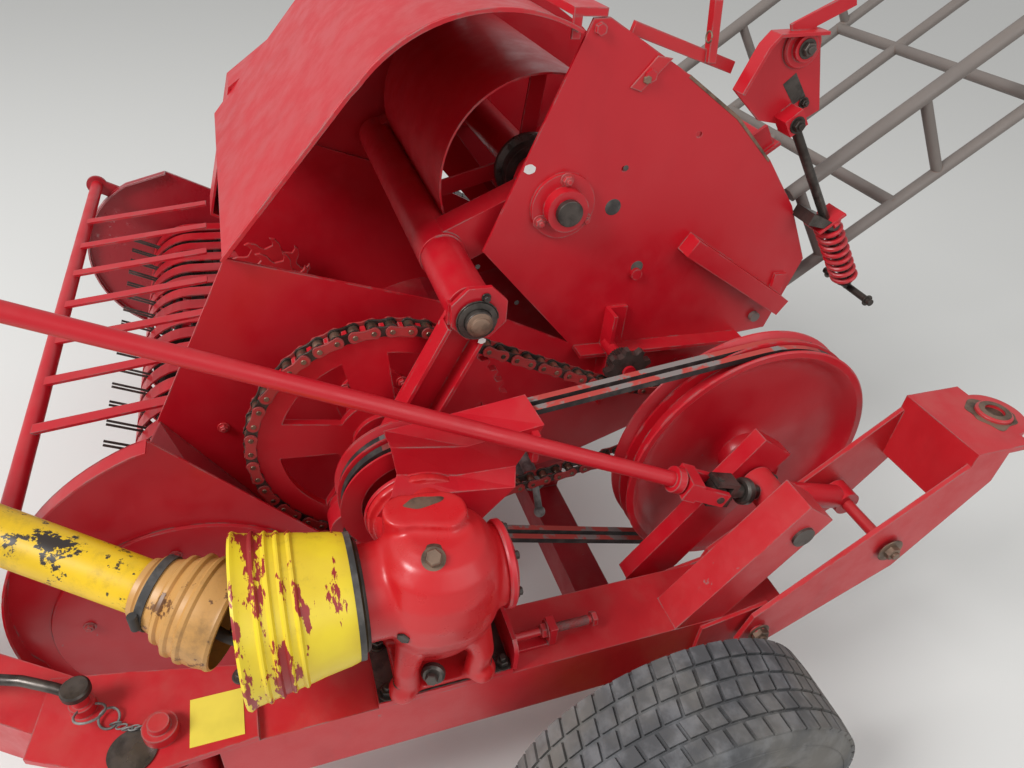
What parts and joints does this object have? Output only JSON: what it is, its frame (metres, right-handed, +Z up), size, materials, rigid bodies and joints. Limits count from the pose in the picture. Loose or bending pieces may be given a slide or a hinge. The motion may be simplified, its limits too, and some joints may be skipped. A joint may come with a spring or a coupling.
{
  "type": "pickup baler",
  "caption": "Trailed low-density pickup baler with swinging plunger, side guards off: belt and chain drive, tined pickup, sloping bale chute, towing drawbar with jack, and two road wheels.",
  "frame": {"origin": "on the ground under the middle of the bounding box", "axes": "+X to the left side of the machine as towed, +Y to the rear, +Z up"},
  "size_m": [2.196, 3.4242, 1.6635],
  "materials": {
    "red_paint": "worn gloss",
    "dark_red_paint": "dusty satin",
    "grey_primer": "worn satin",
    "yellow_paint": "worn gloss",
    "yellow_guard": "chipped satin",
    "label_yellow": "satin",
    "bare_steel": "worn",
    "greasy_steel": "oily",
    "cast_grey": "rough",
    "belt_rubber": "dusty",
    "tyre_rubber": "matt"
  },
  "bodies": {
    "frame": {"main_beam": "red_paint", "axle_beam": "dark_red_paint", "gearbox": "red_paint", "pto_cone": "yellow_guard", "side_plate_left": "red_paint", "side_plate_right": "red_paint", "chamber_floor": "dark_red_paint", "hood": "red_paint", "side_cover_right": "red_paint", "belt_cover": "red_paint", "shaft_supports": "red_paint", "chain_tensioner": "cast_grey", "drive_belts": "belt_rubber", "roller_chain": "greasy_steel", "density_spring": "red_paint", "blank_plates": "label_yellow"},
    "wheel_left": {"tyre_left": "tyre_rubber", "rim_left": "yellow_paint"},
    "wheel_right": {"tyre_right": "tyre_rubber", "rim_right": "yellow_paint"},
    "swing": {"swing_frame": "red_paint", "plunger_head": "dark_red_paint"},
    "rod": {"connecting_rod": "red_paint"},
    "crank": {"crank_sprocket": "red_paint"},
    "idler": {"chain_idler": "greasy_steel"},
    "countershaft": {"large_pulley": "red_paint", "counter_sprocket": "greasy_steel"},
    "drive_pulley": {"small_pulley": "red_paint"},
    "pickup": {"pickup_frame": "dark_red_paint", "dish_left": "red_paint", "dish_right": "red_paint", "stripper_bands": "red_paint"},
    "reel": {"pickup_reel": "greasy_steel"},
    "guard": {"wind_guard": "red_paint"},
    "feeder": {"feeder_rotor": "dark_red_paint"},
    "density": {"density_plate": "red_paint"},
    "chute": {"bale_chute": "grey_primer"},
    "hitch": {"hitch_arm": "red_paint"},
    "screw": {"hitch_screw": "greasy_steel"},
    "screw_tube": {"hitch_tube": "red_paint"},
    "cross": {"rod_cross": "greasy_steel"},
    "yoke": {"rod_joint": "red_paint"},
    "control": {"control_rod": "red_paint"},
    "drive_shaft": {"pto_shaft": "yellow_guard"},
    "tow_bar": {"drawbar": "red_paint", "parking_jack": "red_paint"}
  },
  "joints": [
    {"name": "wheel_left_spin", "type": "hinge", "parent": "frame", "child": "wheel_left", "pos_m": [0.996, 0.315, 0.305], "axis": [1, 0, 0], "continuous": true},
    {"name": "wheel_right_spin", "type": "hinge", "parent": "frame", "child": "wheel_right", "pos_m": [-0.996, 0.315, 0.305], "axis": [1, 0, 0], "continuous": true},
    {"name": "plunger_swing", "type": "hinge", "parent": "frame", "child": "swing", "pos_m": [0, 0.261, 1.114], "axis": [1, 0, 0], "range_deg": [-93.8, 0]},
    {"name": "rod_pivot", "type": "hinge", "parent": "swing", "child": "rod", "pos_m": [0.461, 0.04349, 1.01257], "axis": [1, 0, 0], "range_deg": [0, 96.3]},
    {"name": "crank_spin", "type": "hinge", "parent": "frame", "child": "crank", "pos_m": [0.405, -0.1, 0.722], "axis": [1, 0, 0], "continuous": true},
    {"name": "idler_spin", "type": "hinge", "parent": "frame", "child": "idler", "pos_m": [0.405, 0.399, 0.8], "axis": [1, 0, 0], "continuous": true},
    {"name": "countershaft_spin", "type": "hinge", "parent": "frame", "child": "countershaft", "pos_m": [0.545, 0.621, 0.654], "axis": [1, 0, 0], "continuous": true},
    {"name": "drive_pulley_spin", "type": "hinge", "parent": "frame", "child": "drive_pulley", "pos_m": [0.545, -0.083, 0.717], "axis": [1, 0, 0], "continuous": true},
    {"name": "pickup_lift", "type": "hinge", "parent": "frame", "child": "pickup", "pos_m": [0, -0.225, 0.43], "axis": [1, 0, 0], "range_deg": [-8, 2]},
    {"name": "reel_spin", "type": "hinge", "parent": "pickup", "child": "reel", "pos_m": [0, -0.491, 0.371], "axis": [1, 0, 0], "continuous": true},
    {"name": "guard_lift", "type": "hinge", "parent": "pickup", "child": "guard", "pos_m": [0, -0.748, 0.649], "axis": [1, 0, 0], "range_deg": [0, 35]},
    {"name": "feeder_spin", "type": "hinge", "parent": "frame", "child": "feeder", "pos_m": [0, -0.262, 0.645], "axis": [1, 0, 0], "continuous": true},
    {"name": "density_tilt", "type": "hinge", "parent": "frame", "child": "density", "pos_m": [0, 0.445, 0.955], "axis": [1, 0, 0], "range_deg": [-10, 5]},
    {"name": "chute_fold", "type": "hinge", "parent": "frame", "child": "chute", "pos_m": [0, 0.78, 0.812], "axis": [1, 0, 0], "range_deg": [0, 50]},
    {"name": "hitch_lift", "type": "hinge", "parent": "frame", "child": "hitch", "pos_m": [0.747, 0.54, 0.455], "axis": [1, 0, 0], "range_deg": [-5, 5]},
    {"name": "screw_tilt", "type": "hinge", "parent": "frame", "child": "screw", "pos_m": [0.698, 0.577, 0.688], "axis": [1, 0, 0], "range_deg": [-4.4, 4.4]},
    {"name": "tube_tilt", "type": "hinge", "parent": "hitch", "child": "screw_tube", "pos_m": [0.698, 0.78, 0.625], "axis": [1, 0, 0], "range_deg": [-1, 1]},
    {"name": "cross_yaw", "type": "hinge", "parent": "screw", "child": "cross", "pos_m": [0.698, 0.44998, 0.72742], "axis": [0, 0.2964, 0.9551], "range_deg": [0, 10]},
    {"name": "rod_pitch", "type": "hinge", "parent": "cross", "child": "yoke", "pos_m": [0.698, 0.44998, 0.72742], "axis": [0.991, -0.134, 0], "range_deg": [-4.8, 4.8]},
    {"name": "rod_turn", "type": "hinge", "parent": "yoke", "child": "control", "pos_m": [0.698, 0.44998, 0.72742], "axis": [-0.1243, -0.9195, 0.373], "continuous": true},
    {"name": "shaft_yaw", "type": "hinge", "parent": "frame", "child": "drive_shaft", "pos_m": [0.75, -0.28, 0.717], "axis": [0, 0, 1], "range_deg": [0, 25.2]},
    {"name": "tow_bar_swing", "type": "hinge", "parent": "frame", "child": "tow_bar", "pos_m": [0.765, -0.52, 0.425], "axis": [0, 0, 1], "range_deg": [0, 33]}
  ],
  "couplings": [
    {"joint": "rod_pivot", "follows": "plunger_swing", "ratio": -1.0245},
    {"joint": "countershaft_spin", "follows": "crank_spin", "ratio": 4},
    {"joint": "drive_pulley_spin", "follows": "crank_spin", "ratio": 8.9333},
    {"joint": "idler_spin", "follows": "crank_spin", "ratio": -5.3333},
    {"joint": "screw_tilt", "follows": "hitch_lift", "ratio": 0.8415},
    {"joint": "tube_tilt", "follows": "hitch_lift", "ratio": -0.1585},
    {"joint": "rod_pitch", "follows": "hitch_lift", "ratio": -0.9175},
    {"joint": "cross_yaw", "follows": "tow_bar_swing", "ratio": 0.296},
    {"joint": "shaft_yaw", "follows": "tow_bar_swing", "ratio": 0.755}
  ]
}
